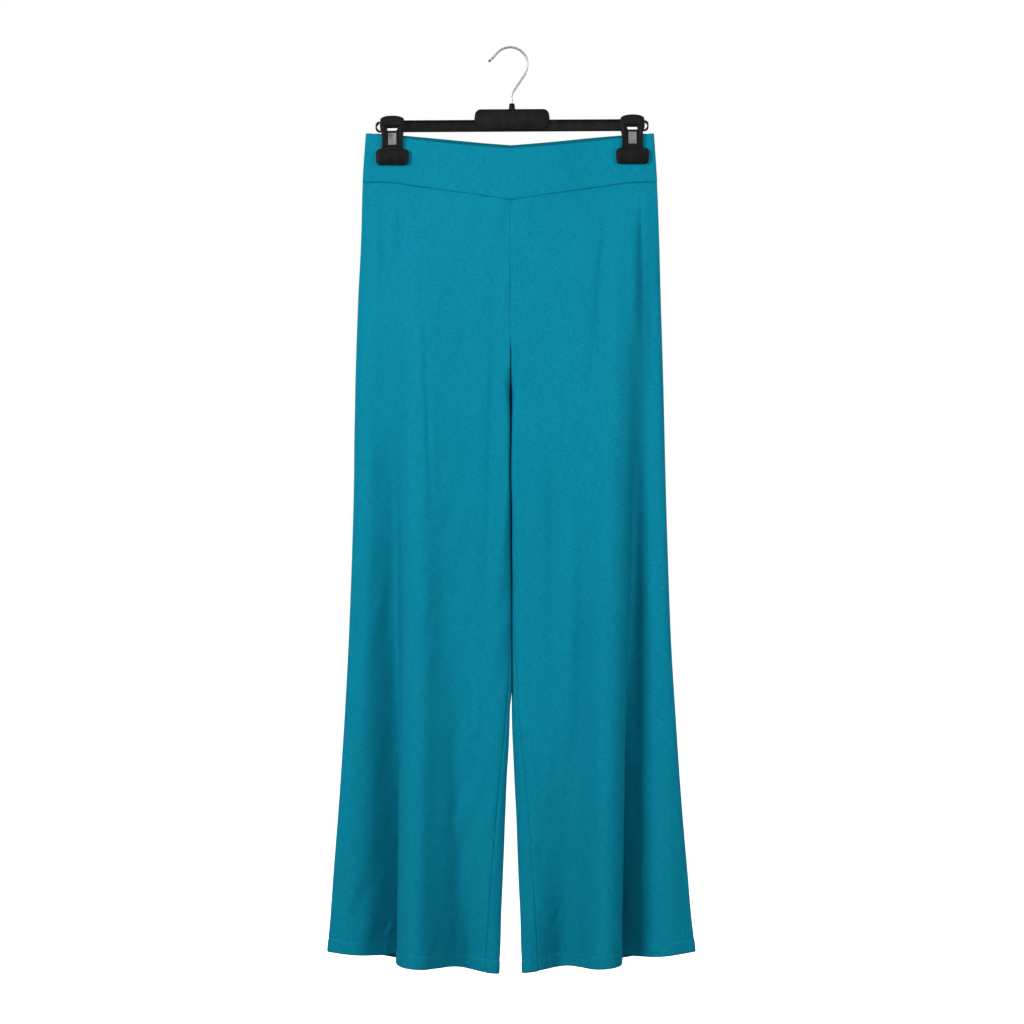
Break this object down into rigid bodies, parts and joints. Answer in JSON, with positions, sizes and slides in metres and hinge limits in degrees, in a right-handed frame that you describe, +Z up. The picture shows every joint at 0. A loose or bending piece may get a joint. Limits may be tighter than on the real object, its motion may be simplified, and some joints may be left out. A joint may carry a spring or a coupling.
{
  "type": "knitted wide straight-leg trousers on a clip hanger",
  "caption": "Pull-on knitted trousers with a contour waistband and wide legs, hanging in soft folds from a plastic clip hanger with a wire hook.",
  "frame": {"origin": "inside of the hook's top, at the point where the rail that holds the hanger bears on it", "axes": "+X to the right seen from the front, +Y from the front of the trousers to the back, +Z up"},
  "size_m": [0.4616, 0.1159, 1.1599],
  "materials": {
    "teal_knit": "fine matt double knit with a faint heathered grain",
    "black_plastic": "moulded, satin",
    "chrome_wire": "polished plated wire",
    "spring_steel": "satin rolled strip"
  },
  "bodies": {
    "root": {"front_leg_left": "teal_knit", "front_leg_right": "teal_knit", "back_leg_left": "teal_knit", "back_leg_right": "teal_knit", "waistband_front": "teal_knit", "waistband_back": "teal_knit", "hanger_body": "black_plastic", "hanger_hook": "chrome_wire", "clip_left_front_jaw": "black_plastic", "clip_left_back_jaw": "black_plastic", "clip_left_spring": "spring_steel", "clip_right_front_jaw": "black_plastic", "clip_right_back_jaw": "black_plastic", "clip_right_spring": "spring_steel"}
  },
  "joints": []
}
